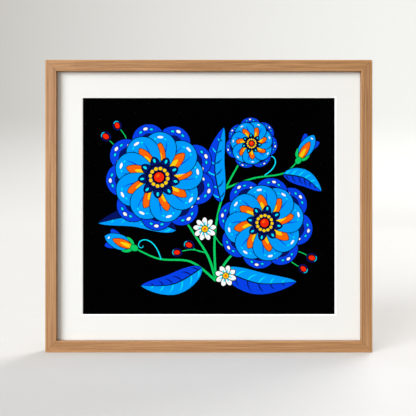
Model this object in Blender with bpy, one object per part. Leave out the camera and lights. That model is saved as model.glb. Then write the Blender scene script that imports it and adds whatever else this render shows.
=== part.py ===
"""A framed print for a wall: mitred rails, clear glazing, a bevel-cut mat, a printed sheet and its back.

Metres, +Z up. The picture faces -Y and the wall is the plane y = 0. The origin is the middle notch of the
sawtooth hanger, which is the point that the wall's nail carries.
"""

import math

import bmesh
import bpy

# The wood frame, seen from the front and in section
OUTER_WIDTH = 0.650
OUTER_HEIGHT = 0.581
RAIL_FACE = 0.022
RAIL_DEPTH = 0.025
LIP_DEPTH = 0.010
RABBET_WIDTH = 0.007
FRONT_EDGE_RADIUS = 0.0010
BACK_EDGE_CHAMFER = 0.0005
ARC_STEPS = 4

# The sheets in the rabbet, from the front to the back
GLAZING_THICKNESS = 0.002
MAT_THICKNESS = 0.002
PRINT_THICKNESS = 0.0003
BACKING_THICKNESS = 0.003
SHEET_CLEARANCE = 0.001
WINDOW_WIDTH = 0.506
WINDOW_HEIGHT = 0.4345
PRINT_OVERLAP = 0.012

# The gap between pieces that touch, and the mitre's
GAP = 0.0003

# The back stands this far off the wall, on the hanger and the bumpers
WALL_GAP = 0.003

# The flat points that hold the sheets in
TAB_WIDTH = 0.008
TAB_REACH = 0.014
TAB_BITE = 0.0065
TAB_TIP_WIDTH = 0.002
TAB_THICKNESS = 0.0006
TAB_CORNER_RADIUS = 0.002
TABS_ALONG_WIDTH = (-0.21, 0.0, 0.21)
TABS_ALONG_HEIGHT = (-0.13, 0.13)

# The sawtooth hanger on the top rail, and its two screws
HANGER_DROP = 0.0115
HANGER_HEIGHT = 0.009
HANGER_THICKNESS = 0.001
TOOTH_PITCH = 0.003
TOOTH_DEPTH = 0.0015
TEETH_EACH_SIDE = 4.5
RAMP_LENGTH = 0.002
EAR_CENTRE = 0.020
EAR_STEPS = 6
EAR_BLUNT_ANGLE = 20
SCREW_SHANK_RADIUS = 0.0011
SCREW_HEAD_RADIUS = 0.0026
SCREW_HEAD_ROUNDING = ((1.0, 0.4), (0.8, 0.85), (0.4, 1.0))
SCREW_LENGTH = 0.008
SCREW_POINT_LENGTH = 0.002
CROSS_LENGTH = 0.0028
CROSS_WIDTH = 0.0006
CROSS_DEPTH = 0.0007

# How far a cutter runs past the face that it opens
OVERSHOOT = 0.001

# The bumpers at the lower corners
BUMPER_RADIUS = 0.0055
BUMPER_EDGE_RADIUS = 0.0010
BUMPER_FROM_SIDE = 0.0075
BUMPER_FROM_BASE = 0.0075

ROUND_SEGMENTS = 24
SMOOTH_ANGLE = math.radians(35)

# Where things end up, worked out from the sizes above
TOP = HANGER_DROP
BOTTOM = TOP - OUTER_HEIGHT
MIDDLE = (TOP + BOTTOM) / 2
BACK = -WALL_GAP
FRONT = BACK - RAIL_DEPTH
SHOULDER = FRONT + LIP_DEPTH
RABBET_WALL = RABBET_WIDTH - RAIL_FACE
SHEET_WIDTH = OUTER_WIDTH + 2 * (RABBET_WALL - SHEET_CLEARANCE)
SHEET_HEIGHT = OUTER_HEIGHT + 2 * (RABBET_WALL - SHEET_CLEARANCE)
GLAZING_FRONT = SHOULDER + GAP
MAT_FRONT = GLAZING_FRONT + GLAZING_THICKNESS + GAP
PRINT_FRONT = MAT_FRONT + MAT_THICKNESS + GAP
BACKING_FRONT = PRINT_FRONT + PRINT_THICKNESS + GAP
TAB_FRONT = BACKING_FRONT + BACKING_THICKNESS + GAP
TAB_BACK = TAB_FRONT + TAB_THICKNESS
EAR_FRONT = BACK + GAP
BRIDGE_FRONT = -HANGER_THICKNESS
HEAD_FRONT = EAR_FRONT + HANGER_THICKNESS + GAP


def finish(name, colour, roughness, metallic=0.0, transmission=0.0):
    """A plain Principled material."""
    material = bpy.data.materials.new(name)
    material.use_nodes = True
    shader = material.node_tree.nodes["Principled BSDF"]
    shader.inputs["Base Color"].default_value = (*colour, 1.0)
    shader.inputs["Roughness"].default_value = roughness
    shader.inputs["Metallic"].default_value = metallic
    shader.inputs["Transmission Weight"].default_value = transmission
    material.diffuse_color = (*colour, 1.0)
    return material


def make_finishes():
    return {
        "oak": finish("oak", (0.48, 0.25, 0.12), 0.55),
        "acrylic": finish("clear acrylic", (0.98, 0.99, 1.0), 0.02, transmission=1.0),
        "mat": finish("mat board", (0.88, 0.86, 0.83), 0.85),
        "print": finish("printed paper", (0.012, 0.012, 0.014), 0.6),
        "hardboard": finish("hardboard", (0.27, 0.16, 0.08), 0.75),
        "steel": finish("zinc-plated steel", (0.55, 0.56, 0.57), 0.35, metallic=1.0),
        "rubber": finish("grey rubber", (0.16, 0.16, 0.17), 0.7),
    }


def clear_scene():
    for obj in list(bpy.data.objects):
        bpy.data.objects.remove(obj, do_unlink=True)


def place(name, bm, material=None, location=(0.0, 0.0, 0.0), turn=0.0):
    """Makes an object of a bmesh, turned about Y and set at its place."""
    bmesh.ops.recalc_face_normals(bm, faces=bm.faces)
    mesh = bpy.data.meshes.new(name)
    bm.to_mesh(mesh)
    bm.free()
    if material:
        mesh.materials.append(material)
    mesh.shade_smooth()
    mesh.set_sharp_from_angle(angle=SMOOTH_ANGLE)
    obj = bpy.data.objects.new(name, mesh)
    obj.location = location
    obj.rotation_euler = (0.0, turn, 0.0)
    bpy.context.scene.collection.objects.link(obj)
    return obj


def cut(obj, cutter):
    """Takes the cutter's shape out of the object."""
    cutter.hide_render = True
    cutter.display_type = "WIRE"
    modifier = obj.modifiers.new("cut " + cutter.name, "BOOLEAN")
    modifier.operation = "DIFFERENCE"
    modifier.object = cutter


def arc(centre, radius, start, end, steps=ARC_STEPS):
    """Points along an arc, with the angles in degrees."""
    points = []
    for step in range(steps + 1):
        angle = math.radians(start + (end - start) * step / steps)
        points.append((centre[0] + radius * math.cos(angle), centre[1] + radius * math.sin(angle)))
    return points


def add_loft(bm, loops):
    """Joins closed loops of the same number of points with faces, and caps the first and the last."""
    rings = [[bm.verts.new(point) for point in loop] for loop in loops]
    for first, second in zip(rings, rings[1:]):
        count = len(first)
        for i in range(count):
            j = (i + 1) % count
            bm.faces.new((first[i], first[j], second[j], second[i]))
    bm.faces.new(rings[0])
    bm.faces.new(rings[-1])


def add_plate(bm, outline, front, back):
    """A flat plate with an outline in X and Z, between two depths in Y."""
    add_loft(bm, [[(x, front, z) for x, z in outline], [(x, back, z) for x, z in outline]])


def box_outline(low_x, high_x, low_z, high_z):
    return [(low_x, low_z), (high_x, low_z), (high_x, high_z), (low_x, high_z)]


def turned(name, profile, material, location):
    """A round piece from a profile of (radius, y) pairs that starts and ends on the axis."""
    bm = bmesh.new()
    verts = [bm.verts.new((radius, y, 0.0)) for radius, y in profile]
    edges = [bm.edges.new(pair) for pair in zip(verts, verts[1:])]
    bmesh.ops.spin(
        bm,
        geom=verts + edges,
        cent=(0.0, 0.0, 0.0),
        axis=(0.0, 1.0, 0.0),
        angle=2 * math.pi,
        steps=ROUND_SEGMENTS,
        use_merge=True,
    )
    bmesh.ops.remove_doubles(bm, verts=bm.verts, dist=1e-6)
    return place(name, bm, material, location)


def rail_profile():
    """The rail's section as (z, y) pairs: z is 0 on the outer side, and y is the depth."""
    radius = FRONT_EDGE_RADIUS
    outer_front = arc((-radius, FRONT + radius), radius, 0, -90)
    inner_front = arc((-RAIL_FACE + radius, FRONT + radius), radius, -90, -180)
    return [
        (-BACK_EDGE_CHAMFER, BACK),
        (0.0, BACK - BACK_EDGE_CHAMFER),
        *outer_front,
        *inner_front,
        (-RAIL_FACE, SHOULDER),
        (RABBET_WALL, SHOULDER),
        (RABBET_WALL, BACK),
    ]


def tab_outline():
    """A point's outline in its rail's X and Z: a round free end, and a blunt tip that bites into the wood."""
    half = TAB_WIDTH / 2
    radius = TAB_CORNER_RADIUS
    free_end = RABBET_WALL - TAB_REACH
    return [
        *arc((-half + radius, free_end + radius), radius, 180, 270),
        *arc((half - radius, free_end + radius), radius, 270, 360),
        (half, RABBET_WALL),
        (TAB_TIP_WIDTH / 2, RABBET_WALL + TAB_BITE),
        (-TAB_TIP_WIDTH / 2, RABBET_WALL + TAB_BITE),
        (-half, RABBET_WALL),
    ]


def make_rail(side, length, location, turn, tabs, finishes):
    """One mitred rail, with slots for its points."""
    reach = length / 2 - GAP / math.sqrt(2)
    ends = [[(sign * (reach + z), y, z) for z, y in rail_profile()] for sign in (-1, 1)]
    bm = bmesh.new()
    add_loft(bm, ends)
    rail = place("rail_" + side, bm, finishes["oak"], location, turn)

    slots = bmesh.new()
    for x in tabs:
        half = TAB_WIDTH / 2 + GAP
        outline = box_outline(x - half, x + half, RABBET_WALL - GAP, RABBET_WALL + TAB_BITE + GAP)
        add_plate(slots, outline, TAB_FRONT - GAP, TAB_BACK + GAP)
    cut(rail, place("slots for rail_" + side, slots, None, location, turn))
    return rail


def make_tabs(side, location, turn, tabs, finishes):
    """The flat points along one rail."""
    for number, x in enumerate(tabs, start=1):
        bm = bmesh.new()
        add_plate(bm, [(x + along, z) for along, z in tab_outline()], TAB_FRONT, TAB_BACK)
        place(f"tab_{side}_{number}", bm, finishes["steel"], location, turn)


def make_frame(finishes):
    """The four rails and their points. It returns the top rail."""
    quarter = math.pi / 2
    sides = [
        ("top", OUTER_WIDTH, (0.0, 0.0, TOP), 0.0, TABS_ALONG_WIDTH),
        ("right", OUTER_HEIGHT, (OUTER_WIDTH / 2, 0.0, MIDDLE), quarter, TABS_ALONG_HEIGHT),
        ("bottom", OUTER_WIDTH, (0.0, 0.0, BOTTOM), 2 * quarter, TABS_ALONG_WIDTH),
        ("left", OUTER_HEIGHT, (-OUTER_WIDTH / 2, 0.0, MIDDLE), -quarter, TABS_ALONG_HEIGHT),
    ]
    rails = {}
    for side, length, location, turn, tabs in sides:
        rails[side] = make_rail(side, length, location, turn, tabs, finishes)
        make_tabs(side, location, turn, tabs, finishes)
    return rails["top"]


def make_sheet(name, width, height, front, thickness, material):
    """A plain flat sheet, centred in the frame."""
    bm = bmesh.new()
    outline = box_outline(-width / 2, width / 2, -height / 2, height / 2)
    add_plate(bm, outline, front, front + thickness)
    return place(name, bm, material, (0.0, 0.0, MIDDLE))


def make_mat(finishes):
    """The mat, whose window is cut at 45 degrees, so that it is larger at the front."""
    bevel = MAT_THICKNESS
    back = MAT_FRONT + MAT_THICKNESS
    rings = []
    for width, height, y in (
        (SHEET_WIDTH, SHEET_HEIGHT, MAT_FRONT),
        (WINDOW_WIDTH + 2 * bevel, WINDOW_HEIGHT + 2 * bevel, MAT_FRONT),
        (WINDOW_WIDTH, WINDOW_HEIGHT, back),
        (SHEET_WIDTH, SHEET_HEIGHT, back),
    ):
        outline = box_outline(-width / 2, width / 2, -height / 2, height / 2)
        rings.append([(x, y, z) for x, z in outline])
    bm = bmesh.new()
    corners = [[bm.verts.new(point) for point in ring] for ring in rings]
    for ring, following in zip(corners, corners[1:] + corners[:1]):
        for i in range(4):
            j = (i + 1) % 4
            bm.faces.new((ring[i], ring[j], following[j], following[i]))
    return place("mat_board", bm, finishes["mat"], (0.0, 0.0, MIDDLE))


def make_sheets(finishes):
    make_sheet("glazing", SHEET_WIDTH, SHEET_HEIGHT, GLAZING_FRONT, GLAZING_THICKNESS, finishes["acrylic"])
    make_mat(finishes)
    print_width = WINDOW_WIDTH + 2 * PRINT_OVERLAP
    print_height = WINDOW_HEIGHT + 2 * PRINT_OVERLAP
    make_sheet("print_sheet", print_width, print_height, PRINT_FRONT, PRINT_THICKNESS, finishes["print"])
    make_sheet(
        "backing_board", SHEET_WIDTH, SHEET_HEIGHT, BACKING_FRONT, BACKING_THICKNESS, finishes["hardboard"]
    )


def hanger_stations():
    """(x, front y, lower z, upper z) from the left ear's round end to the right one's."""
    low = -TOOTH_DEPTH
    middle = low + HANGER_HEIGHT / 2
    ear_radius = HANGER_HEIGHT / 2
    bridge_end = TEETH_EACH_SIDE * TOOTH_PITCH
    stations = []
    for step in range(EAR_STEPS):
        angle = math.radians(EAR_BLUNT_ANGLE + (90 - EAR_BLUNT_ANGLE) * step / EAR_STEPS)
        half = ear_radius * math.sin(angle)
        x = -EAR_CENTRE - ear_radius * math.cos(angle)
        stations.append((x, EAR_FRONT, middle - half, middle + half))
    stations.append((-EAR_CENTRE, EAR_FRONT, low, low + HANGER_HEIGHT))
    stations.append((-bridge_end - RAMP_LENGTH, EAR_FRONT, low, low + HANGER_HEIGHT))
    for step in range(int(2 * TEETH_EACH_SIDE)):
        at_tip = step % 2 == 0
        x = -bridge_end + step * TOOTH_PITCH / 2
        stations.append((x, BRIDGE_FRONT, low if at_tip else 0.0, low + HANGER_HEIGHT))
    mirrored = [(-x, front, lower, upper) for x, front, lower, upper in reversed(stations)]
    return stations + [(0.0, BRIDGE_FRONT, 0.0, low + HANGER_HEIGHT)] + mirrored


def make_hanger(top_rail, finishes):
    """The sawtooth hanger: a strip with a toothed lower edge, bridged off the wood between its two ears."""
    loops = []
    for x, front, lower, upper in hanger_stations():
        back = front + HANGER_THICKNESS
        loops.append([(x, front, lower), (x, back, lower), (x, back, upper), (x, front, upper)])
    bm = bmesh.new()
    add_loft(bm, loops)
    hanger = place("sawtooth_hanger", bm, finishes["steel"])

    middle = HANGER_HEIGHT / 2 - TOOTH_DEPTH
    for side, x in (("left", -EAR_CENTRE), ("right", EAR_CENTRE)):
        make_screw(side, (x, 0.0, middle), finishes)
        radius = SCREW_SHANK_RADIUS + GAP
        tip = EAR_FRONT - SCREW_LENGTH - GAP
        profile = [(0.0, tip), (radius, tip), (radius, OVERSHOOT), (0.0, OVERSHOOT)]
        hole = turned(f"hole {side}", profile, None, (x, 0.0, middle))
        cut(hanger, hole)
        cut(top_rail, hole)


def make_screw(side, location, finishes):
    """A pan-head screw with a cross recess."""
    neck = SCREW_SHANK_RADIUS
    point = EAR_FRONT - SCREW_LENGTH
    crown = [(out * SCREW_HEAD_RADIUS, (1 - up) * HEAD_FRONT) for out, up in SCREW_HEAD_ROUNDING]
    profile = [
        (0.0, point),
        (neck, point + SCREW_POINT_LENGTH),
        (neck, HEAD_FRONT),
        (SCREW_HEAD_RADIUS, HEAD_FRONT),
        *crown,
        (0.0, 0.0),
    ]
    screw = turned("hanger_screw_" + side, profile, finishes["steel"], location)
    long, half = CROSS_LENGTH / 2, CROSS_WIDTH / 2
    arm = [(half, half), (half, long), (-half, long)]
    cross = []
    for quarter in range(4):
        cosine, sine = (1, 0, -1, 0)[quarter], (0, 1, 0, -1)[quarter]
        cross += [(x * cosine - z * sine, x * sine + z * cosine) for x, z in arm]
    bm = bmesh.new()
    add_plate(bm, cross, -CROSS_DEPTH, OVERSHOOT)
    cut(screw, place("cross " + side, bm, None, location))


def make_bumpers(finishes):
    """Two soft discs that keep the lower edge off the wall and the frame straight."""
    edge = arc((BUMPER_RADIUS - BUMPER_EDGE_RADIUS, -BUMPER_EDGE_RADIUS), BUMPER_EDGE_RADIUS, 0, 90)
    profile = [(0.0, BACK + GAP), (BUMPER_RADIUS, BACK + GAP), *edge, (0.0, 0.0)]
    x = OUTER_WIDTH / 2 - BUMPER_FROM_SIDE
    for side, sign in (("left", -1), ("right", 1)):
        turned("bumper_" + side, profile, finishes["rubber"], (sign * x, 0.0, BOTTOM + BUMPER_FROM_BASE))


def main():
    clear_scene()
    finishes = make_finishes()
    top_rail = make_frame(finishes)
    make_sheets(finishes)
    make_hanger(top_rail, finishes)
    make_bumpers(finishes)


main()
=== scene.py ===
"""A framed print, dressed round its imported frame.

Metres, +Z up, and the picture faces -Y. The rails, the glazing, the backing board and the fittings are the
frame's own solids with new materials. The mat and the printed sheet are rebuilt in their places, and the
nails that hold the mitres together are added.
"""

import math
import random

import bmesh
import bpy
from bpy.props import FloatProperty, FloatVectorProperty, PointerProperty
from bpy.types import Operator, Panel, PropertyGroup
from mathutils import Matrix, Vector
from mathutils.bvhtree import BVHTree
from mathutils.geometry import delaunay_2d_cdt


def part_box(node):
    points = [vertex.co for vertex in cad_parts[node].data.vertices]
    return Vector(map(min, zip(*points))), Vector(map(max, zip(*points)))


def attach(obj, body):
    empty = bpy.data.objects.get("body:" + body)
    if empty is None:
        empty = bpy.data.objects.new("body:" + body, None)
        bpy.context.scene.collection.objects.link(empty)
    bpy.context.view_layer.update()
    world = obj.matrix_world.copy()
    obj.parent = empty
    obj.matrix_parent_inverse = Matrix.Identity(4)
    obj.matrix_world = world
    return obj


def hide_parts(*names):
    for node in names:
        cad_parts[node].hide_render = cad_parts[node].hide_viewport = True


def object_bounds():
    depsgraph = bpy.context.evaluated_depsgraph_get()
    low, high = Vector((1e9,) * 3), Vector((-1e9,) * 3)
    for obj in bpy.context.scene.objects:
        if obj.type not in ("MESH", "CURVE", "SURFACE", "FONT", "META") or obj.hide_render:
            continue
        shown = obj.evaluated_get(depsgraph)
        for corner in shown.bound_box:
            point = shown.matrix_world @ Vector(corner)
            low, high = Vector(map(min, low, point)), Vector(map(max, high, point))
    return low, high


bl_info = {
    "name": "Framed Print",
    "version": (1, 0, 0),
    "blender": (4, 5, 0),
    "location": "3D View > Sidebar > Framed Print",
    "description": "Dresses a picture frame with oak, a bevelled mat, a printed spray, glazing and fittings",
    "category": "Object",
}

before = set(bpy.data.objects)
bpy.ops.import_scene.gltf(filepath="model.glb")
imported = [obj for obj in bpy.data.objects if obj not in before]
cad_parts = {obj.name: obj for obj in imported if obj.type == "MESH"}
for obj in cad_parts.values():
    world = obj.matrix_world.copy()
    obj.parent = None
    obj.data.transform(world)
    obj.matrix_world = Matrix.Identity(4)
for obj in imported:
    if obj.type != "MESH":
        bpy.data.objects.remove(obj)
CAD_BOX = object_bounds()

MM = 0.001
BODY = "root"

# Places that come from the frame
FACE = CAD_BOX[0].y
MIDDLE = (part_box("rail_top")[1].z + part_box("rail_bottom")[0].z) / 2
FLOOR_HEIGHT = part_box("rail_bottom")[0].z
RAIL_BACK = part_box("rail_top")[1].y
RAIL_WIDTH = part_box("rail_top")[1].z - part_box("rail_top")[0].z
HALF_WIDTH = CAD_BOX[1].x
HALF_HEIGHT = (CAD_BOX[1].z - CAD_BOX[0].z) / 2

# Each rail's grain direction, the stretch of grain that it shows, and the tint of its wood. The tint is
# partly each piece's own tone and partly painted shade: the left rail is lightest and the right darkest, as
# the light falls from the left
RAILS = {
    "rail_top": ("X", 0.0, (0.935, 0.885, 0.79)),
    "rail_right": ("Z", 67.0, (0.90, 0.865, 0.82)),
    "rail_bottom": ("X", 22.0, (0.965, 0.92, 0.86)),
    "rail_left": ("Z", 80.0, (0.995, 0.985, 0.965)),
}
# How long the streaks are in the level rails and in the upright ones
STREAK_LENGTHS = {"X": 0.11, "Z": 0.34}
# The length and the width of the oak's broad figure, of its fibres and of its open pores
FIGURE_SIZE = (0.40, 6 * MM)
FIBRE_SIZE = (35 * MM, 0.45 * MM)
PORE_SIZE = (6.5 * MM, 0.24 * MM)
# How far the grain wavers from side to side
WAVER = 9 * MM

INK_NAMES = ("black", "azure", "ultramarine", "navy", "orange", "yellow", "red", "green", "cyan", "white")
# The spots inside a back petal's rim: how far each is to the side of the middle, its ink and its size
RIM_SPOTS = ((-2, "white", 0.8), (-1, "cyan", 0.85), (0, "white", 1.2), (1, "cyan", 0.85), (2, "white", 0.8))
# How close points are when they become one, in the stack of shapes and in the lines between its inks
SHAPE_WELD = 0.001 * MM
LINE_WELD = 0.005 * MM
# Triangles that are thinner than this are taken out of the printed sheet
SLIVER = 0.02 * MM

# How far along the mitre a corner's two nails are, as shares of the rail's width
NAIL_SHARES = (0.22, 0.50)

# The far lights but the key: how wide each is, how far left of straight ahead, and how far above the level
FRONT_LIGHT = (math.radians(60), 0.0, 0.0)
TOP_LIGHT = (math.radians(30), 0.0, math.radians(90))
BACK_LIGHT = (math.radians(45), math.radians(215), math.radians(20))
# The near light's size, its place and what it points at
SIDE_LAMP_SIZE = 0.7
SIDE_LAMP_PLACE = Vector((-1.1, FACE - 0.9, MIDDLE + 0.3))
SIDE_LAMP_TARGET = Vector((-0.2, FACE, MIDDLE))
# The colours of the light
COOL = (0.93, 0.975, 1.0)
WARM = (1.0, 0.945, 0.86)
WHITE = (1.0, 1.0, 1.0)
SKY = (1.0, 0.94, 0.85)
# How far the camera stands to the right of the frame's middle, and above it
CAMERA_ACROSS = -1.6 * MM
CAMERA_UP = -3.8 * MM


def colour_property(name, description, default):
    return FloatVectorProperty(
        name=name, description=description, subtype="COLOR", size=3, min=0.0, max=1.0, default=default
    )


def length_property(name, description, default):
    return FloatProperty(name=name, description=description, unit="LENGTH", min=0.0, default=default)


def angle_property(name, description, degrees):
    return FloatProperty(name=name, description=description, subtype="ANGLE", default=math.radians(degrees))


def strength_property(name, description, default):
    return FloatProperty(name=name, description=description, min=0.0, default=default)


def power_property(name, description, default):
    return FloatProperty(name=name, description=description, unit="POWER", min=0.0, default=default)


class OakSettings(PropertyGroup):
    """The wood of the four rails."""

    light: colour_property("Light wood", "Colour of the pale streaks", (0.612, 0.331, 0.157))
    dark: colour_property("Dark wood", "Colour of the dark streaks", (0.300, 0.141, 0.054))
    # The arris colour lightens every edge: partly rubbed wear, partly a painted highlight where the rounded
    # edges catch the light.
    arris: colour_property("Arris", "Colour that the rubbed edges lean to", (0.76, 0.385, 0.145))
    pore: colour_property("Pores", "Colour inside the open pores", (0.20, 0.095, 0.040))
    level_streak: length_property("Level streaks", "Width of a streak in the level rails", 1.1 * MM)
    upright_streak: length_property("Upright streaks", "Width of a streak in the upright rails", 1.9 * MM)
    # These widths set the band of lighter wood along the edges, which is both wear and painted highlight.
    outer_arris: length_property("Outer arris", "Width of the rubbed wood along the outer edges", 4.2 * MM)
    inner_arris: length_property("Inner arris", "Width of the rubbed wood along the inner edges", 2.4 * MM)
    roughness: FloatProperty(
        name="Roughness",
        description="Roughness of the lacquer",
        subtype="FACTOR",
        min=0.0,
        max=1.0,
        default=0.46,
    )


class MatSettings(PropertyGroup):
    """The mat board."""

    paper: colour_property("Face paper", "Colour of the mat's face", (0.870, 0.860, 0.848))
    core: colour_property("Core", "Colour of the core that the bevel shows", (0.93, 0.93, 0.925))
    # The core's glow is painted light: emission that brightens the bevel's core where it faces away from the
    # lamps.
    core_painted_glow: strength_property("Core glow", "How much the brightened core glows", 0.38)
    edge_round: length_property("Edge", "How far the cut's front edge is rounded", 0.15 * MM)


class InkSettings(PropertyGroup):
    """The inks and the paper of the print."""

    black: colour_property("Black", "Ground and outlines", (0.0005, 0.0005, 0.0006))
    azure: colour_property("Azure", "Front petals and light sides of leaves", (0.0, 0.31, 0.93))
    ultramarine: colour_property("Ultramarine", "Back petals and dark sides of leaves", (0.002, 0.050, 0.76))
    navy: colour_property("Navy", "Shades between the petals", (0.002, 0.007, 0.115))
    orange: colour_property("Orange", "Flames", (0.92, 0.125, 0.003))
    yellow: colour_property("Yellow", "Hearts of the flames, and seeds", (0.90, 0.57, 0.006))
    red: colour_property("Red", "Eyes and berries", (0.87, 0.019, 0.003))
    green: colour_property("Green", "Stems and cups", (0.003, 0.58, 0.12))
    cyan: colour_property("Cyan", "Veins and small marks", (0.003, 0.71, 0.90))
    white: colour_property("White", "Daisies and lights", (0.90, 0.91, 0.92))
    paper: colour_property("Paper", "Back and edges of the sheet", (0.82, 0.81, 0.78))


class SpraySettings(PropertyGroup):
    """The drawing on the print."""

    outline: length_property("Outline", "Width of the black line round each shape", 1.5 * MM)


class FittingSettings(PropertyGroup):
    """The back, the hanger, the points, the nails and the bumpers."""

    board: colour_property("Hardboard", "Colour of the backing board", (0.27, 0.155, 0.078))
    fibre: colour_property("Fibres", "Colour of the board's darker fibres", (0.15, 0.080, 0.038))
    zinc: colour_property("Zinc", "Colour of the plated steel", (0.60, 0.61, 0.63))
    rubber: colour_property("Rubber", "Colour of the bumpers", (0.11, 0.11, 0.115))
    nail_leg: length_property("Nail leg", "Length of each leg of a corner nail", 3.4 * MM)
    nail_steel: length_property("Nail steel", "Thickness of a corner nail's steel", 0.5 * MM)
    nail_depth: length_property("Nail depth", "How deep a corner nail goes into the wood", 4 * MM)
    nail_proud: length_property("Nail proud", "How far a corner nail stands out of the wood", 0.12 * MM)
    nail_slant: angle_property("Nail slant", "Angle between each leg of a corner nail and the mitre", 40)


class StageSettings(PropertyGroup):
    """The floor, the lights and the camera."""

    floor: colour_property("Floor", "Colour of the floor and backdrop", (0.80, 0.79, 0.775))
    lens: FloatProperty(name="Lens", description="Focal length", unit="CAMERA", min=10.0, default=50.0)
    view_width: length_property("View width", "Width that the camera sees at the frame's face", 0.8258)
    key_strength: strength_property("Key light", "Strength of the key light", 2.75)
    key_spread: angle_property("Key spread", "Angle that the key light fills", 42)
    key_side: angle_property("Key side", "How far left of straight ahead the key light is", 43)
    key_rise: angle_property("Key rise", "How far above the level the key light is", 18)
    top_strength: strength_property("Top light", "Strength of the light from above", 1.2)
    back_strength: strength_property("Back light", "Strength of the light from behind", 2.6)
    front_strength: strength_property("Front light", "Strength of the light from straight ahead", 0.63)
    side_power: power_property("Side light", "Power of the near light on the left", 3.0)
    sky: strength_property("Sky", "Strength of the light from all round", 0.21)


class FramedPrintSettings(PropertyGroup):
    """All that a user would change."""

    oak: PointerProperty(name="Oak", description="The rails", type=OakSettings)
    mat: PointerProperty(name="Mat", description="The mat board", type=MatSettings)
    inks: PointerProperty(name="Inks", description="The print's inks", type=InkSettings)
    spray: PointerProperty(name="Spray", description="The print's drawing", type=SpraySettings)
    fittings: PointerProperty(name="Fittings", description="The back and the fittings", type=FittingSettings)
    stage: PointerProperty(name="Stage", description="Floor, lights and camera", type=StageSettings)


# Nodes of a material


def start_material(name):
    """A new material, with its nodes, its shader and its place in the object's own metres."""
    material = bpy.data.materials.new(name)
    material.use_nodes = True
    tree = material.node_tree
    place = tree.nodes.new("ShaderNodeTexCoord").outputs["Object"]
    return material, tree, tree.nodes["Principled BSDF"], place


def add_node(tree, kind, inputs, **settings):
    """A node with its settings. An input takes a value, or a link where it is given a socket."""
    made = tree.nodes.new(kind)
    for name, value in settings.items():
        setattr(made, name, value)
    for key, value in inputs.items():
        if isinstance(value, bpy.types.NodeSocket):
            tree.links.new(value, made.inputs[key])
        else:
            made.inputs[key].default_value = value
    return made


def noise(tree, place, sizes, detail, roughness, shift=0.0):
    """Soft noise whose features have about these sizes along X, Y and Z. A shift gives another stretch."""
    start = (shift, 1.7 * shift, 2.3 * shift)
    inputs = {"Vector": place, "Location": start, "Scale": [1 / size for size in sizes]}
    scaled = add_node(tree, "ShaderNodeMapping", inputs).outputs[0]
    inputs = {"Vector": scaled, "Scale": 1.0, "Detail": detail, "Roughness": roughness}
    return add_node(tree, "ShaderNodeTexNoise", inputs).outputs["Fac"]


def spread(tree, value, low, high, to_low=0.0, to_high=1.0):
    """Maps a range of values onto another, and holds what is outside at its ends."""
    inputs = {"Value": value, "From Min": low, "From Max": high, "To Min": to_low, "To Max": to_high}
    return add_node(tree, "ShaderNodeMapRange", inputs).outputs[0]


def mix(tree, share, first, second, mode="MIX"):
    """Mixes two colours."""
    inputs = {0: share, 6: first, 7: second}
    return add_node(tree, "ShaderNodeMix", inputs, data_type="RGBA", blend_type=mode).outputs[2]


def solid(colour):
    return (*colour, 1.0)


def toned(tree, colour, tone):
    """A colour that a value makes lighter or darker."""
    grey = add_node(tree, "ShaderNodeCombineColor", {0: tone, 1: tone, 2: tone}).outputs[0]
    return mix(tree, 1.0, colour, grey, "MULTIPLY")


def maths(tree, first, second, operation="ADD"):
    """Adds two values, or works out something else from them."""
    return add_node(tree, "ShaderNodeMath", {0: first, 1: second}, operation=operation).outputs[0]


def vector_maths(tree, operation, inputs):
    return add_node(tree, "ShaderNodeVectorMath", inputs, operation=operation).outputs[0]


def bump(tree, shader, height, distance, strength):
    inputs = {"Height": height, "Distance": distance, "Strength": strength}
    tree.links.new(add_node(tree, "ShaderNodeBump", inputs).outputs[0], shader.inputs["Normal"])


def wear(obj, material):
    """Gives an object this material in place of its own."""
    obj.data.materials.clear()
    obj.data.materials.append(material)


# The rails


def worn_and_highlit_edge(tree, place, outer_width, inner_width):
    """How near a place is to one of a rail's long edges: 1 on the edge, and 0 from these widths on."""
    parts = add_node(tree, "ShaderNodeSeparateXYZ", {0: place}).outputs
    across = maths(tree, parts["X"], 0.0, "ABSOLUTE")
    up = maths(tree, maths(tree, parts["Z"], MIDDLE, "SUBTRACT"), 0.0, "ABSOLUTE")
    from_side = maths(tree, HALF_WIDTH, across, "SUBTRACT")
    from_end = maths(tree, HALF_HEIGHT, up, "SUBTRACT")
    from_outside = maths(tree, from_side, from_end, "MINIMUM")
    from_inside = maths(tree, RAIL_WIDTH, from_outside, "SUBTRACT")
    # Stretched, so that the inner width ends at the same value as the outer one
    from_inside = maths(tree, from_inside, outer_width / inner_width, "MULTIPLY")
    from_either = maths(tree, from_outside, from_inside, "MINIMUM")
    from_front = maths(tree, parts["Y"], FACE, "SUBTRACT")
    from_back = maths(tree, RAIL_BACK, parts["Y"], "SUBTRACT")
    front_edge = maths(tree, from_either, from_front, "MAXIMUM")
    back_edge = maths(tree, from_outside, from_back, "MAXIMUM")
    return spread(tree, maths(tree, front_edge, back_edge, "MINIMUM"), 0.0, outer_width, 1.0, 0.0)


def wavered(tree, place):
    """Places that drift softly from side to side, so that straight grain wavers."""
    cloud = add_node(tree, "ShaderNodeTexNoise", {"Vector": place, "Scale": 2.6, "Detail": 1.0})
    drift = vector_maths(tree, "SUBTRACT", {0: cloud.outputs["Color"], 1: (0.5, 0.5, 0.5)})
    drift = vector_maths(tree, "SCALE", {0: drift, "Scale": WAVER})
    return vector_maths(tree, "ADD", {0: place, 1: drift})


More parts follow.
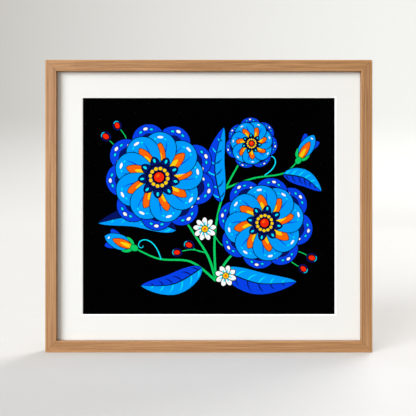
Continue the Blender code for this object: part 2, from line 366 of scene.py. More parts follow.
def oak(name, along, tone_and_shade, stretch, settings):
    """Oak with its grain along one axis, in figure, streaks, fibres and pores, each finer than the last."""

    def sizes(length, width):
        return [length if axis == along else width for axis in "XYZ"]

    # Scales a colour by the rail's tint, which holds painted shade as well as the wood's own tone.
    def tinted(colour):
        return solid([channel * share for channel, share in zip(colour, tone_and_shade)])

    material, tree, shader, still = start_material(name)
    place = wavered(tree, still)
    streak_width = settings.level_streak if along == "X" else settings.upright_streak
    figure = noise(tree, place, sizes(*FIGURE_SIZE), 2.0, 0.5, stretch)
    streaks = noise(tree, place, sizes(STREAK_LENGTHS[along], streak_width), 3.0, 0.6, stretch + 3.1)
    fibres = noise(tree, place, sizes(*FIBRE_SIZE), 3.0, 0.6, stretch + 5.3)
    pores = noise(tree, place, sizes(*PORE_SIZE), 1.0, 0.5, stretch + 7.7)

    broad = spread(tree, figure, 0.34, 0.66, 0.0, 0.30)
    fine = spread(tree, streaks, 0.36, 0.64, 0.0, 0.70)
    wood = mix(tree, maths(tree, broad, fine), tinted(settings.light), tinted(settings.dark))
    wood = toned(tree, wood, spread(tree, fibres, 0.3, 0.7, 1.06, 0.90))
    # The edges lean to a lighter colour: partly rubbed wear, partly a painted highlight that stands in for
    # light caught by the rounded edges.
    worn_and_highlit = worn_and_highlit_edge(tree, still, settings.outer_arris, settings.inner_arris)
    wood = mix(tree, maths(tree, worn_and_highlit, 0.5, "MULTIPLY"), wood, solid(settings.arris))
    open_pores = maths(tree, spread(tree, pores, 0.61, 0.69), spread(tree, streaks, 0.38, 0.58), "MULTIPLY")
    wood = mix(tree, maths(tree, open_pores, 0.6, "MULTIPLY"), wood, tinted(settings.pore))
    tree.links.new(wood, shader.inputs["Base Color"])

    lacquer = spread(tree, fibres, 0.3, 0.7, settings.roughness - 0.04, settings.roughness + 0.06)
    roughness = maths(tree, lacquer, maths(tree, open_pores, 0.2, "MULTIPLY"))
    tree.links.new(roughness, shader.inputs["Roughness"])
    shader.inputs["Specular IOR Level"].default_value = 0.35
    height = maths(tree, maths(tree, fibres, 0.35, "MULTIPLY"), open_pores, "SUBTRACT")
    bump(tree, shader, height, 0.10 * MM, 0.5)
    return material


# The mat


def board_paper(name, colour, fleck, tooth, glow=0.0):
    """Paper with faint flecks and a tooth that catches the light. A glow, where given, is painted light that
    brightens a bevel's core lying in shade.
    """
    material, tree, shader, place = start_material(name)
    flecks = spread(tree, noise(tree, place, [0.9 * MM] * 3, 3.0, 0.6), 0.3, 0.7, 1.0 - fleck, 1.0)
    clouds = spread(tree, noise(tree, place, [45 * MM] * 3, 2.0, 0.5, 4.0), 0.3, 0.7, 0.99, 1.0)
    tone = maths(tree, flecks, clouds, "MULTIPLY")
    tree.links.new(toned(tree, solid(colour), tone), shader.inputs["Base Color"])
    # Painted light: the paper glows by this much, so a cut lying in shade still shows bright.
    shader.inputs["Emission Color"].default_value = solid(colour)
    shader.inputs["Emission Strength"].default_value = glow
    shader.inputs["Roughness"].default_value = 0.85
    shader.inputs["Specular IOR Level"].default_value = 0.2
    bump(tree, shader, noise(tree, place, [0.35 * MM] * 3, 2.0, 0.6, 9.0), tooth, 0.6)
    return material


def window_sizes():
    """Half the width and height of the mat's opening, at its back."""
    points = [vertex.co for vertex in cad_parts["mat_board"].data.vertices]
    return min(abs(point.x) for point in points), min(abs(point.z - MIDDLE) for point in points)


def add_object(name, bm, *materials):
    """An object of a bmesh, whose faces keep their numbers of these materials."""
    mesh = bpy.data.meshes.new(name)
    for material in materials:
        mesh.materials.append(material)
    bm.to_mesh(mesh)
    bm.free()
    obj = bpy.data.objects.new(name, mesh)
    bpy.context.scene.collection.objects.link(obj)
    return obj


def build_mat(settings):
    """A board with a window cut at 45 degrees, whose faces are paper and whose cuts show the core."""
    low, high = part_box("mat_board")
    half_width, half_height = window_sizes()
    bevel = high.y - low.y
    edge_width = settings.edge_round
    edge_depth = 0.3 * edge_width
    paper, core = 0, 1
    # Each ring's distance out from the window, its depth, and what the board shows from it to the next ring
    rings = [
        (high.x - half_width, low.y, paper),
        (bevel + edge_width, low.y, core),
        (bevel, low.y + edge_depth, core),
        (0.0, high.y, paper),
        (high.x - half_width, high.y, core),
    ]
    bm = bmesh.new()
    loops = []
    for margin, y, _ in rings:
        x, z = half_width + margin, half_height + margin
        corners = [(-x, -z), (x, -z), (x, z), (-x, z)]
        loops.append([bm.verts.new((across, y, MIDDLE + up)) for across, up in corners])
    for (_, _, material), loop, following in zip(rings, loops, loops[1:] + loops[:1]):
        for i in range(4):
            j = (i + 1) % 4
            bm.faces.new((loop[i], loop[j], following[j], following[i])).material_index = material
    bmesh.ops.recalc_face_normals(bm, faces=bm.faces)
    face = board_paper("mat face", settings.paper, 0.02, 0.04 * MM)
    # The cut's core gets the painted glow, a light that no lamp gives it.
    cut = board_paper("mat core", settings.core, 0.01, 0.03 * MM, settings.core_painted_glow)
    return add_object("bevelled_mat", bm, face, cut)


# The printed drawing: shapes in inks, laid one over another, in metres from the middle of the window


def polar(origin, distance, angle):
    return (origin[0] + distance * math.cos(angle), origin[1] + distance * math.sin(angle))


def curve(*points):
    """The smooth curve through some points, as a function of the share of the way along it."""
    padded = [points[0], *points, points[-1]]
    spans = len(points) - 1

    def place_at(share):
        span = min(int(share * spans), spans - 1)
        t = share * spans - span
        weights = (-t + 2 * t**2 - t**3, 2 - 5 * t**2 + 3 * t**3, t + 4 * t**2 - 3 * t**3, t**3 - t**2)
        return tuple(sum(w * p[k] for w, p in zip(weights, padded[span : span + 4])) / 2 for k in (0, 1))

    return place_at


def step_count(length, fewest, most):
    """How many steps a line of this length is drawn in."""
    return round(min(max(math.sqrt(length / MM) * 1.9, fewest), most))


def bowed(base, tip, bend):
    """A curve from base to tip that bows to its left by a share of its length."""
    across, up = tip[0] - base[0], tip[1] - base[1]
    middle = ((base[0] + tip[0]) / 2 - up * bend, (base[1] + tip[1]) / 2 + across * bend)
    return curve(base, middle, tip)


def edges_of(line, half_width, steps=0):
    """The middle, the left and the right side of a band round a curve, with more points near its ends."""
    steps = steps or step_count(1.2 * math.dist(line(0.0), line(1.0)), 7, 24)
    middle, left, right = [], [], []
    for step in range(steps + 1):
        share = (1 - math.cos(math.pi * step / steps)) / 2
        (ax, ay), (bx, by) = line(max(share - 0.01, 0.0)), line(min(share + 0.01, 1.0))
        scale = half_width(share) / math.hypot(bx - ax, by - ay)
        across, up = (ay - by) * scale, (bx - ax) * scale
        x, y = line(share)
        middle.append((x, y))
        left.append((x + across, y + up))
        right.append((x - across, y - up))
    return middle, left, right


def band(line, half_width, steps=0):
    """The outline of a band, anticlockwise as every shape's is."""
    _, left, right = edges_of(line, half_width, steps)
    return right + left[::-1]


def oval(centre, length, width, turn):
    steps = step_count(1.6 * (length + width), 10, 40)
    cosine, sine = math.cos(turn), math.sin(turn)
    points = []
    for step in range(steps):
        angle = 2 * math.pi * step / steps
        x, y = 0.5 * length * math.cos(angle), 0.5 * width * math.sin(angle)
        points.append((centre[0] + x * cosine - y * sine, centre[1] + x * sine + y * cosine))
    return points


def swell(width, lean, blunt=0.75):
    """Half the width along a petal. A lean above 1 puts its widest place nearer the tip."""

    def half(share):
        return 0.5 * width * max(math.sin(math.pi * share**lean), 0.0) ** blunt

    return half


class Drawing:
    """The shapes of a print, from the lowest to the topmost, each with its ink."""

    def __init__(self, outline):
        self.outline = outline
        self.shapes = []

    def lay(self, ink, points):
        self.shapes.append((ink, points))

    def petal(self, ink, base, angle, length, width, lean, blunt=0.7, bend=0.0, line=True, halved=False):
        """A petal, or its right half, on a slightly larger black one that makes its outline."""
        margin = self.outline / 2
        for colour, more in (("black", margin), (ink, -margin)) if line else ((ink, 0.0),):
            start, tip = polar(base, -more, angle), polar(base, length + more, angle)
            middle, left, right = edges_of(bowed(start, tip, bend), swell(width + 2 * more, lean, blunt))
            self.lay(colour, right + (middle if halved else left)[::-1])

    def spot(self, ink, centre, length, width=None, turn=0.0, line=0.0):
        """An oval, or a disc if it is given no width, with a black line round it if the line has a width."""
        width = width or length
        if line:
            self.lay("black", oval(centre, length + 2 * line, width + 2 * line, turn))
        self.lay(ink, oval(centre, length, width, turn))

    def stem(self, width, *points):
        line = curve(*points)
        steps = 12 * (len(points) - 1)
        self.lay("black", band(line, lambda share: width / 2 + 0.6 * self.outline, steps))
        self.lay("green", band(line, lambda share: width / 2 * (1.2 - 0.5 * share), steps))

    def leaf(self, base, tip, width, bend, left_ink="azure", right_ink="ultramarine"):
        """A pointed leaf with another ink on each side of its rib, and six pairs of veins."""
        veins = 6
        line = bowed(base, tip, bend)
        shape = swell(width, 0.82, 0.95)
        self.lay("black", band(line, lambda share: shape(share) + self.outline))
        middle, left, right = edges_of(line, shape)
        self.lay(left_ink, middle + left[::-1])
        self.lay(right_ink, right + middle[::-1])
        for number in range(1, veins + 1):
            share = (number - 0.35) / (veins + 1.2)
            (ax, ay), (bx, by) = line(share - 0.02), line(share + 0.02)
            heading = math.atan2(by - ay, bx - ax)
            for side, ink in ((1, "cyan"), (-1, "navy")):
                end = polar(line(share), 1.02 * shape(share + 0.10), heading + side * math.radians(50))
                self.lay(ink, band(bowed(line(share), end, 0.10 * side), swell(2.6 * MM, 0.7, 0.8)))
        self.lay("black", band(line, swell(2.4 * MM, 0.5, 0.6)))

    def blossom(self, centre, radius, count, turn, seed):
        """Two rows of petals and a ring of sepals round an eye.

        Each front petal lies over the one before it. Half of the first is laid again, over the last.
        """
        chance = random.Random(seed)
        step = 2 * math.pi / count
        for i in range(count):
            angle = turn + (i + 0.5) * step + chance.uniform(-0.04, 0.04)
            self.back_petal(centre, angle, radius * chance.uniform(0.94, 1.0), radius, step)
        fronts = []
        for i in range(count):
            angle = turn + i * step + chance.uniform(-0.05, 0.05)
            fronts.append((angle, 0.82 * radius * chance.uniform(0.95, 1.03)))
        for angle, length in fronts:
            self.front_petal(centre, angle, length, radius, step)
        self.front_petal(centre, *fronts[0], radius, step, halved=True)
        for i in range(count):
            angle = turn + (i + 0.5) * step
            self.petal("navy", centre, angle, 0.37 * radius, 0.17 * radius, 1.4, 0.8)
            self.spot("cyan", polar(centre, 0.30 * radius, angle), 0.075 * radius, 0.042 * radius, angle)
        self.eye(centre, 0.42 * radius, turn)

    def back_petal(self, centre, angle, length, radius, step):
        """A dark petal with a row of spots inside its rim."""
        width = 0.86 * radius * step
        self.petal("ultramarine", centre, angle, length, width, 1.6, 0.62)
        self.petal("navy", centre, angle, 0.83 * length, 0.74 * width, 1.6, 0.7, line=False)
        for side, ink, size in RIM_SPOTS:
            place = polar(centre, (0.915 - 0.032 * side * side) * length, angle + side * 0.165 * step)
            self.spot(ink, place, 0.045 * size * radius, 0.070 * size * radius, angle + side * 0.35, 0.9 * MM)

    def front_petal(self, centre, angle, length, radius, step, halved=False):
        """A light petal, or its right half, with a flame, a vein on each side and lights at its tip."""
        width = 0.84 * radius * step
        self.petal("azure", centre, angle, length, width, 1.45, 0.66, halved=halved)
        for side in (-1,) if halved else (-1, 1):
            foot = polar(centre, 0.42 * length, angle + side * 0.26 * step)
            head = polar(centre, 0.82 * length, angle + side * 0.25 * step)
            self.lay("ultramarine", band(bowed(foot, head, 0.06 * side), swell(2.4 * MM, 0.8)))
            place = polar(centre, 0.845 * length, angle + side * 0.19 * step)
            self.spot("cyan", place, 0.028 * radius, 0.050 * radius, angle + side * 0.5)
        self.petal("orange", centre, angle, 0.76 * length, 0.36 * width, 1.2, 0.8, halved=halved)
        self.petal("yellow", centre, angle, 0.56 * length, 0.19 * width, 1.1, 0.8, line=False, halved=halved)
        self.spot("white", polar(centre, 0.88 * length, angle), 0.045 * radius, 0.11 * radius, angle)

    def eye(self, centre, size, turn):
        """A ring of seeds round a red heart."""
        seeds = 12
        self.spot("navy", centre, size, line=2.0 * MM)
        for i in range(seeds):
            angle = turn + (i + 0.5) * 2 * math.pi / seeds
            self.spot("yellow", polar(centre, 0.37 * size, angle), 0.15 * size, 0.17 * size, angle, 0.6 * MM)
        self.spot("red", centre, 0.42 * size, line=0.06 * size)
        self.spot("orange", polar(centre, 0.08 * size, 2.2), 0.18 * size, 0.11 * size, 0.7)

    def bud(self, base, angle, length):
        """A closed flower in its cup."""
        width = 0.66 * length
        for side in (-1, 1):
            turned = angle + side * 0.30
            self.petal("ultramarine", base, turned, 0.94 * length, 0.50 * width, 1.1, bend=-0.10 * side)
        self.petal("azure", base, angle, length, 0.74 * width, 1.0, 0.8)
        self.petal("orange", base, angle, 0.74 * length, 0.40 * width, 1.0, 0.9)
        self.petal("yellow", base, angle, 0.48 * length, 0.18 * width, 1.0, 0.9, line=False)
        self.spot("white", polar(base, 0.86 * length, angle), 0.045 * length, 0.09 * length, angle)
        for side in (-1, 1):
            self.petal("green", base, angle + side * 0.60, 0.42 * length, 0.18 * width, 0.9, bend=0.12 * side)
        self.spot("green", base, 0.26 * length, 0.20 * length, angle, 0.8 * MM)

    def berry(self, foot, centre, size, bend):
        """A berry on a thin stalk, with a light on its far side."""
        self.lay("green", band(bowed(foot, centre, bend), lambda share: 0.9 * MM))
        turn = math.atan2(centre[1] - foot[1], centre[0] - foot[0])
        self.spot("navy", centre, 1.50 * size, 1.25 * size, turn, 0.8 * MM)
        self.spot("cyan", polar(centre, 0.42 * size, turn), 0.5 * size, 0.75 * size, turn)
        self.spot("black", centre, 1.16 * size, 0.96 * size, turn)
        self.spot("red", centre, 0.90 * size, 0.68 * size, turn)

    def daisy(self, centre, radius, count, turn):
        """A small white flower."""
        step = 2 * math.pi / count
        for i in range(count):
            angle = turn + i * step
            self.petal("white", centre, angle, radius, 0.70 * radius * step, 1.3, 0.6)
            self.petal("cyan", centre, angle, 0.60 * radius, 0.22 * radius * step, 1.1, 0.8, line=False)
        self.spot("yellow", centre, 0.52 * radius, line=1.4 * MM)
        self.spot("orange", centre, 0.26 * radius)

    def tendril(self, start, heading, size):
        """A thin curl that winds in on itself, in strides that shorten and turn ever more."""
        strides = 14
        points = [start]
        for stride in range(strides):
            points.append(polar(points[-1], size * 0.42 * 0.88**stride, heading))
            heading += 0.12 + 0.055 * stride
        self.lay("cyan", band(curve(*points), lambda share: MM * (1.2 - 0.5 * share), 6 * strides))


def at(x, y):
    """A place on the print, from millimetres."""
    return (x * MM, y * MM)


def draw_spray(outline):
    """A loose spray of blossoms, buds, leaves and berries that rises from the lower middle."""
    art = Drawing(outline)
    root, great, lower, upper = at(14, -150), at(-100, 58), at(112, -34), at(86, 126)
    art.stem(4.5 * MM, root, at(-2, -100), at(-40, -40), great)
    art.stem(4.5 * MM, root, at(36, -110), at(76, -70), lower)
    art.stem(4.0 * MM, root, at(12, -60), at(28, 20), at(60, 84), upper)
    art.stem(4.0 * MM, root, at(-36, -112), at(-100, -106), at(-150, -84))
    art.stem(3.2 * MM, at(34, 36), at(90, 56), at(150, 66), at(180, 92))
    art.leaf(at(-14, -124), at(-136, -160), 44 * MM, 0.12)
    art.leaf(at(26, -128), at(176, -152), 46 * MM, -0.10)
    art.leaf(at(-66, -48), at(-222, -34), 44 * MM, -0.13, right_ink="navy")
    art.leaf(at(24, 8), at(30, 158), 40 * MM, 0.10, "ultramarine", "azure")
    art.leaf(at(150, 64), at(226, 30), 34 * MM, 0.12)
    art.tendril(at(-96, -107), 1.9, 30 * MM)
    art.tendril(at(112, 62), 0.6, 22 * MM)
    art.bud(at(-150, -84), math.radians(158), 64 * MM)
    art.bud(at(180, 92), math.radians(58), 60 * MM)
    for foot, centre, size, bend in (
        (at(-4, -94), at(-40, -78), 15, 0.1),
        (at(-4, -94), at(-64, -93), 14, -0.1),
        (at(12, -60), at(40, -86), 13, -0.1),
        (at(150, -90), at(207, -104), 15, 0.1),
        (at(150, -90), at(190, -126), 14, -0.1),
        (at(-160, 110), at(-207, 140), 15, 0.1),
        (at(-160, 110), at(-184, 162), 14, -0.1),
    ):
        art.berry(foot, centre, size * MM, bend)
    art.blossom(upper, 54 * MM, 7, 0.3, 3)
    art.blossom(great, 114 * MM, 9, 0.1, 1)
    art.blossom(lower, 98 * MM, 8, 0.2, 2)
    art.daisy(at(-8, -46), 24 * MM, 9, 0.2)
    art.daisy(at(34, -140), 22 * MM, 8, 0.5)
    return art.shapes


def printed_ink(name, colour):
    """Matt ink on paper with a fine tooth."""
    material, tree, shader, place = start_material(name)
    tone = spread(tree, noise(tree, place, [1.2 * MM] * 3, 3.0, 0.6), 0.3, 0.7, 0.96, 1.0)
    tree.links.new(toned(tree, solid(colour), tone), shader.inputs["Base Color"])
    shader.inputs["Roughness"].default_value = 0.7
    shader.inputs["Specular IOR Level"].default_value = 0.0
    bump(tree, shader, noise(tree, place, [0.3 * MM] * 3, 2.0, 0.6, 3.0), 0.02 * MM, 0.5)
    return material


def overlay(shapes):
    """Cuts a stack of (ink, outline) shapes into triangles, each in the ink of its topmost shape."""
    points, faces = [], []
    for _, corners in shapes:
        faces.append(list(range(len(points), len(points) + len(corners))))
        points += [Vector(corner) for corner in corners]
    inside_faces, need_ids = 1, True
    cut = delaunay_2d_cdt(points, [], faces, inside_faces, SHAPE_WELD, need_ids)
    places, triangles, covering = cut[0], cut[2], cut[5]
    return places, triangles, [shapes[max(shapes_here)][0] for shapes_here in covering]


def redrawn(places, triangles, inks):
    """The same picture in fewer triangles, whose only lines are those where one ink meets another."""
    sides = {}
    for triangle, ink in zip(triangles, inks):
        for i in range(3):
            sides.setdefault(frozenset((triangle[i], triangle[i - 1])), []).append(ink)
    lines = [tuple(line) for line, beside in sides.items() if len(beside) == 1 or len(set(beside)) > 1]
    numbers = {old: new for new, old in enumerate(sorted({end for line in lines for end in line}))}
    lines = [(numbers[first], numbers[second]) for first, second in lines]
    whole_area, need_ids = 0, False
    cut = delaunay_2d_cdt([places[old] for old in numbers], lines, [], whole_area, LINE_WELD, need_ids)
    new_places, new_triangles = cut[0], cut[2]

    picture = BVHTree.FromPolygons([(*place, 0.0) for place in places], triangles)
    new_inks = []
    for triangle in new_triangles:
        middle = sum((new_places[i] for i in triangle), Vector((0.0, 0.0))) / 3
        found = picture.ray_cast((*middle, 1.0), (0.0, 0.0, -1.0))[2]
        new_inks.append(inks[found])
    return new_places, new_triangles, new_inks


def build_print(inks, outline):
    """A closed sheet whose front is cut up into the drawing's shapes, each in its own ink."""
    low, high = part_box("print_sheet")
    x, z = (high.x - low.x) / 2, (high.z - low.z) / 2
    ground = [(-x, -z), (x, -z), (x, z), (-x, z)]
    places, triangles, triangle_inks = redrawn(*overlay([("black", ground), *draw_spray(outline)]))

    bm = bmesh.new()
    corners = [bm.verts.new((place.x, low.y, MIDDLE + place.y)) for place in places]
    for triangle, ink in zip(triangles, triangle_inks):
        bm.faces.new([corners[i] for i in triangle]).material_index = INK_NAMES.index(ink)
    rim = [edge for edge in bm.edges if edge.is_boundary]
    walls = bmesh.ops.extrude_edge_only(bm, edges=rim)["geom"]
    for vertex in (part for part in walls if isinstance(part, bmesh.types.BMVert)):
        vertex.co.y = high.y
    back_rim = [part for part in walls if isinstance(part, bmesh.types.BMEdge) and part.is_boundary]
    back = bmesh.ops.contextual_create(bm, geom=back_rim)["faces"]
    paper = len(INK_NAMES)
    for face in [*back, *(part for part in walls if isinstance(part, bmesh.types.BMFace))]:
        face.material_index = paper
    bmesh.ops.dissolve_degenerate(bm, edges=bm.edges, dist=SLIVER)
    bmesh.ops.triangulate(bm, faces=bm.faces)
    bmesh.ops.recalc_face_normals(bm, faces=bm.faces)
    materials = [printed_ink(f"{name} ink", getattr(inks, name)) for name in INK_NAMES]
    materials.append(board_paper("print paper", inks.paper, 0.02, 0.03 * MM))
    return add_object("printed_spray", bm, *materials)


# Glazing, back and fittings


def acrylic(name):
    """Clear sheet with a coat that hardly mirrors."""
    material, _, shader, _ = start_material(name)
    shader.inputs["Base Color"].default_value = (0.995, 1.0, 0.998, 1.0)
    shader.inputs["Transmission Weight"].default_value = 1.0
    shader.inputs["IOR"].default_value = 1.49
    shader.inputs["Roughness"].default_value = 0.0
    shader.inputs["Specular Tint"].default_value = (0.0, 0.0, 0.0, 1.0)
    return material


def hardboard(name, board, fibre):
    """Pressed board, mottled, with fine dark fibres."""
    material, tree, shader, place = start_material(name)
    clouds = noise(tree, place, [60 * MM] * 3, 3.0, 0.6)
    specks = noise(tree, place, [1.6 * MM] * 3, 4.0, 0.7, 2.0)
    broad = spread(tree, clouds, 0.3, 0.7, 0.0, 0.35)
    fine = spread(tree, specks, 0.40, 0.72, 0.0, 0.65)
    mottled = mix(tree, maths(tree, broad, fine), solid(board), solid(fibre))
    tree.links.new(mottled, shader.inputs["Base Color"])
    tree.links.new(spread(tree, specks, 0.3, 0.7, 0.68, 0.85), shader.inputs["Roughness"])
    bump(tree, shader, specks, 0.12 * MM, 0.6)
    return material


def zinc_steel(name, colour):
    """Plated steel with faint spangle and rolling marks."""
    material, tree, shader, place = start_material(name)
    spangles_per_metre = 260.0
    inputs = {"Vector": place, "Scale": spangles_per_metre}
    spangle = add_node(tree, "ShaderNodeTexVoronoi", inputs).outputs["Color"]
    marks = noise(tree, place, [12 * MM, 1 * MM, 0.3 * MM], 3.0, 0.6)
    tone = spread(tree, marks, 0.3, 0.7, 0.86, 1.0)
    tinted = mix(tree, 0.12, solid(colour), mix(tree, 1.0, solid(colour), spangle, "MULTIPLY"))
    tree.links.new(toned(tree, tinted, tone), shader.inputs["Base Color"])
    tree.links.new(spread(tree, marks, 0.3, 0.7, 0.30, 0.46), shader.inputs["Roughness"])
    shader.inputs["Metallic"].default_value = 1.0
    bump(tree, shader, marks, 0.02 * MM, 0.4)
    return material


def soft_rubber(name, colour):
    """Matt rubber with a fine moulded grain."""
    material, tree, shader, place = start_material(name)
    grain = noise(tree, place, [0.5 * MM] * 3, 3.0, 0.6)
    tone = spread(tree, grain, 0.3, 0.7, 0.85, 1.1)
    tree.links.new(toned(tree, solid(colour), tone), shader.inputs["Base Color"])
    tree.links.new(spread(tree, grain, 0.3, 0.7, 0.62, 0.78), shader.inputs["Roughness"])
    bump(tree, shader, grain, 0.04 * MM, 0.5)
    return material


def corner_nail(name, corner, inward, settings, material):
    """A V of thin steel across a mitre, driven almost flush into the back of the wood."""
    slant = settings.nail_slant
    tip_along, tip_across = settings.nail_leg * math.cos(slant), settings.nail_leg * math.sin(slant)
    shift = settings.nail_steel / 2 / math.sin(slant)
    side = [(tip_along, tip_across), (0.0, 0.0), (tip_along, -tip_across)]
    outline = [(along + shift, across) for along, across in side]
    outline += [(along - shift, across) for along, across in side[::-1]]
    bm = bmesh.new()
    loops = []
    for y in (RAIL_BACK + settings.nail_proud, RAIL_BACK - settings.nail_depth):
        loop = []
        for along, across in outline:
            x = corner.x + (along * inward.x - across * inward.y)
            z = corner.y + (along * inward.y + across * inward.x)
            loop.append(bm.verts.new((x, y, z)))
        loops.append(loop)
    outer, inner = loops
    for i in range(len(outline)):
        bm.faces.new((outer[i - 1], outer[i], inner[i], inner[i - 1]))
    bm.faces.new(outer)
    bm.faces.new(inner)
    bmesh.ops.recalc_face_normals(bm, faces=bm.faces)
    return add_object(name, bm, material)


# The operators


class FRAMEDPRINT_OT_rails(Operator):
    """Finish the four rails in oak, each with the grain along it"""

    bl_idname = "framed_print.rails"
    bl_label = "Finish Rails"

    def execute(self, context):
        settings = context.scene.framed_print.oak
        for node, (grain, stretch, tone_and_shade) in RAILS.items():
            wear(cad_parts[node], oak(f"oak of {node}", grain, tone_and_shade, stretch, settings))
        return {"FINISHED"}


class FRAMEDPRINT_OT_mat(Operator):
    """Cut the mat, with its core showing at the bevel"""

    bl_idname = "framed_print.mat"
    bl_label = "Cut Mat"

    def execute(self, context):
        mat = build_mat(context.scene.framed_print.mat)
        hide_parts("mat_board")
        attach(mat, BODY)
        return {"FINISHED"}


class FRAMEDPRINT_OT_print(Operator):
    """Print the sheet: a spray of blossoms in flat inks on black"""

    bl_idname = "framed_print.print"
    bl_label = "Print Sheet"

    def execute(self, context):
        settings = context.scene.framed_print
        sheet = build_print(settings.inks, settings.spray.outline)
        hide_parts("print_sheet")
        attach(sheet, BODY)
        return {"FINISHED"}


class FRAMEDPRINT_OT_glazing(Operator):
    """Make the glazing clear"""

    bl_idname = "framed_print.glazing"
    bl_label = "Clear Glazing"

    def execute(self, context):
        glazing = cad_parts["glazing"]
        wear(glazing, acrylic("clear acrylic"))
        # The light goes straight through it to the mat and the print
        glazing.visible_shadow = False
        glazing.visible_diffuse = False
        return {"FINISHED"}


class FRAMEDPRINT_OT_back(Operator):
    """Finish the backing board, the points, the hanger, its screws and the bumpers"""

    bl_idname = "framed_print.back"
    bl_label = "Finish Back"

    def execute(self, context):
        settings = context.scene.framed_print.fittings
        board = hardboard("hardboard", settings.board, settings.fibre)
        steel = zinc_steel("zinc-plated steel", settings.zinc)
        rubber = soft_rubber("soft rubber", settings.rubber)
        for name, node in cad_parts.items():
            if name.startswith(("tab_", "hanger_", "sawtooth_")):
                wear(node, steel)
            elif name.startswith("bumper_"):
                wear(node, rubber)
        wear(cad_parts["backing_board"], board)
        return {"FINISHED"}


class FRAMEDPRINT_OT_nails(Operator):
    """Drive two corner nails across each mitre, from the back"""

    bl_idname = "framed_print.nails"
    bl_label = "Drive Corner Nails"

    def execute(self, context):
        settings = context.scene.framed_print.fittings
        steel = zinc_steel("nail steel", settings.zinc)
        for side, x in (("left", -1), ("right", 1)):
            for end, z in (("top", 1), ("bottom", -1)):
                inward = Vector((-x, -z)).normalized()
                for number, share in enumerate(NAIL_SHARES, start=1):
                    inset = share * RAIL_WIDTH
                    place = Vector((x * (HALF_WIDTH - inset), MIDDLE + z * (HALF_HEIGHT - inset)))
                    nail = corner_nail(f"corner_nail_{end}_{side}_{number}", place, inward, settings, steel)
                    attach(nail, BODY)
        return {"FINISHED"}


def keep_off(lamp, *pieces):
    """Keeps a lamp's light off some pieces, as a studio's black flags do. The pane then mirrors no lamp."""
    flagged = bpy.data.collections.new(f"flagged from {lamp.name}")
    for piece in pieces:
        flagged.objects.link(piece)
    for entry in flagged.collection_objects:
        entry.light_linking.link_state = "EXCLUDE"
    lamp.light_linking.receiver_collection = flagged


def add_far_light(name, strength, colour, width, side, rise):
    """A soft light from far off, left of straight ahead by one angle and above the level by another."""
    lamp = bpy.data.lights.new(name, "SUN")
    lamp.energy = strength
    lamp.angle = width
    lamp.color = colour
    obj = bpy.data.objects.new(name, lamp)
    obj.rotation_euler = (math.pi / 2 - rise, 0.0, -side)
    bpy.context.scene.collection.objects.link(obj)
    keep_off(obj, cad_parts["glazing"])


def add_near_light(power, floor):
    """A weak light near the left side, so that the picture darkens a little towards the right."""
    lamp = bpy.data.lights.new("side", "AREA")
    lamp.shape = "SQUARE"
    lamp.size = SIDE_LAMP_SIZE
    lamp.energy = power
    obj = bpy.data.objects.new("side", lamp)
    obj.location = SIDE_LAMP_PLACE
    obj.rotation_euler = (SIDE_LAMP_TARGET - SIDE_LAMP_PLACE).to_track_quat("-Z", "Y").to_euler()
    obj.visible_camera = False
    bpy.context.scene.collection.objects.link(obj)
    keep_off(obj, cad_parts["glazing"], floor)


def build_floor(colour):
    """A round floor that sweeps up into a wall."""
    radius, sweep, height = 7.0, 1.8, 4.5
    steps, steps_round, weld = 12, 96, 0.01 * MM
    profile = [(0.0, 0.0), (radius, 0.0)]
    for step in range(1, steps + 1):
        angle = math.pi / 2 * step / steps
        profile.append((radius + sweep * math.sin(angle), sweep * (1 - math.cos(angle))))
    profile.append((radius + sweep, height))
    bm = bmesh.new()
    verts = [bm.verts.new((across, 0.0, FLOOR_HEIGHT + up)) for across, up in profile]
    line = verts + [bm.edges.new(pair) for pair in zip(verts, verts[1:])]
    bmesh.ops.spin(
        bm, geom=line, cent=(0, 0, 0), axis=(0, 0, 1), angle=2 * math.pi, steps=steps_round, use_merge=True
    )
    bmesh.ops.remove_doubles(bm, verts=bm.verts, dist=weld)
    bmesh.ops.recalc_face_normals(bm, faces=bm.faces)
    bmesh.ops.reverse_faces(bm, faces=bm.faces)
    floor = add_object("studio_floor", bm, board_paper("floor", colour, 0.01, 0.1 * MM))
    floor.data.shade_smooth()
    # It is seen, but it casts no shadow and throws no light back on the frame
    floor.visible_shadow = False
    floor.visible_diffuse = False
    floor.visible_glossy = False
    return floor


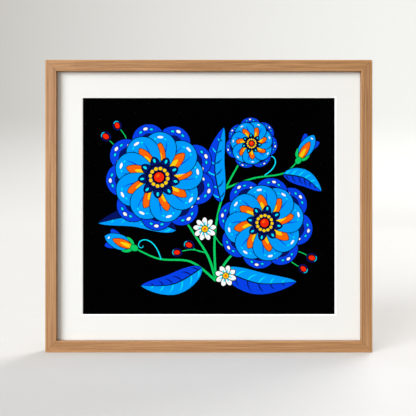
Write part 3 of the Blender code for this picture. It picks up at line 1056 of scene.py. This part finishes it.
class FRAMEDPRINT_OT_stage(Operator):
    """Set the floor, the lights and the camera"""

    bl_idname = "framed_print.stage"
    bl_label = "Set Stage"

    def execute(self, context):
        scene = context.scene
        settings = scene.framed_print.stage
        floor = build_floor(settings.floor)
        key_light = (settings.key_spread, settings.key_side, settings.key_rise)
        add_far_light("key", settings.key_strength, COOL, *key_light)
        add_near_light(settings.side_power, floor)
        add_far_light("front", settings.front_strength, WARM, *FRONT_LIGHT)
        add_far_light("top", settings.top_strength, WHITE, *TOP_LIGHT)
        add_far_light("back", settings.back_strength, WHITE, *BACK_LIGHT)

        world = bpy.data.worlds.new("sky")
        world.use_nodes = True
        background = world.node_tree.nodes["Background"]
        background.inputs["Color"].default_value = solid(SKY)
        background.inputs["Strength"].default_value = settings.sky
        scene.world = world
        scene.view_settings.view_transform = "Standard"

        camera = bpy.data.cameras.new("camera")
        camera.lens = settings.lens
        distance = settings.view_width * settings.lens / camera.sensor_width
        obj = bpy.data.objects.new("camera", camera)
        obj.location = (CAMERA_ACROSS, FACE - distance, MIDDLE + CAMERA_UP)
        obj.rotation_euler = (math.pi / 2, 0.0, 0.0)
        scene.collection.objects.link(obj)
        scene.camera = obj
        return {"FINISHED"}


class FRAMEDPRINT_PT_panel(Panel):
    """Lists the pieces, in the order in which they are made"""

    bl_idname = "FRAMEDPRINT_PT_panel"
    bl_label = "Framed Print"
    bl_space_type = "VIEW_3D"
    bl_region_type = "UI"
    bl_category = "Framed Print"

    def draw(self, context):
        settings = context.scene.framed_print
        for operator in OPERATORS:
            self.layout.operator(operator.bl_idname)
        for part in FramedPrintSettings.__annotations__:
            group = getattr(settings, part)
            box = self.layout.box()
            for name in group.__annotations__:
                box.prop(group, name)


OPERATORS = (
    FRAMEDPRINT_OT_rails,
    FRAMEDPRINT_OT_nails,
    FRAMEDPRINT_OT_mat,
    FRAMEDPRINT_OT_print,
    FRAMEDPRINT_OT_glazing,
    FRAMEDPRINT_OT_back,
    FRAMEDPRINT_OT_stage,
)

CLASSES = (
    OakSettings,
    MatSettings,
    InkSettings,
    SpraySettings,
    FittingSettings,
    StageSettings,
    FramedPrintSettings,
    *OPERATORS,
    FRAMEDPRINT_PT_panel,
)


def register():
    for cls in CLASSES:
        bpy.utils.register_class(cls)
    bpy.types.Scene.framed_print = PointerProperty(
        name="Framed print", description="Sizes and colours of the framed print", type=FramedPrintSettings
    )


def unregister():
    del bpy.types.Scene.framed_print
    for cls in reversed(CLASSES):
        bpy.utils.unregister_class(cls)


def main():
    register()
    bpy.ops.framed_print.rails()
    bpy.ops.framed_print.nails()
    bpy.ops.framed_print.mat()
    bpy.ops.framed_print.print()
    bpy.ops.framed_print.glazing()
    bpy.ops.framed_print.back()
    bpy.ops.framed_print.stage()


if __name__ == "__main__":
    main()
